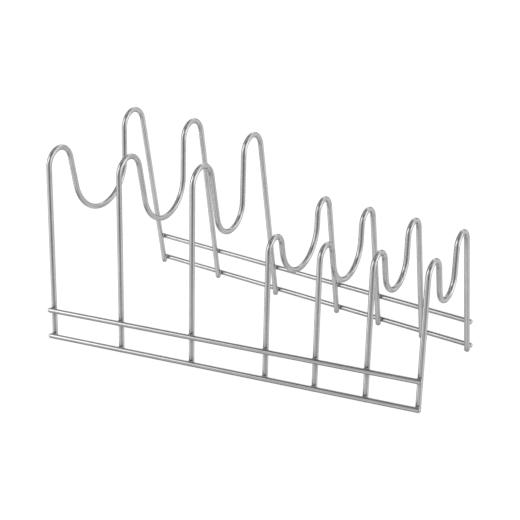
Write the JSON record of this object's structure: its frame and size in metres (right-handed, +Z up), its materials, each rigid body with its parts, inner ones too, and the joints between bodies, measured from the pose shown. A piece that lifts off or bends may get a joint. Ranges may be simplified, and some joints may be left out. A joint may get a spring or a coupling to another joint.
{
  "type": "pot lid rack",
  "caption": "Free-standing wire rack that holds pot lids on edge between M-shaped bent wires, tall and wide apart at one end, short and close at the other.",
  "frame": {"origin": "on the surface the rack stands on, at the middle of its length and depth", "axes": "+X along the rails from the tall wires to the short ones, +Y to the rear, +Z up"},
  "size_m": [0.3674, 0.2016, 0.1855],
  "materials": {
    "satin_plate": "satin nickel-coloured plating on steel wire"
  },
  "bodies": {
    "root": {"tall_wire_1": "satin_plate", "tall_wire_2": "satin_plate", "tall_wire_3": "satin_plate", "short_wire_1": "satin_plate", "short_wire_2": "satin_plate", "short_wire_3": "satin_plate", "short_wire_4": "satin_plate", "front_upper_rail": "satin_plate", "front_lower_rail": "satin_plate", "rear_upper_rail": "satin_plate", "rear_lower_rail": "satin_plate"}
  },
  "joints": []
}
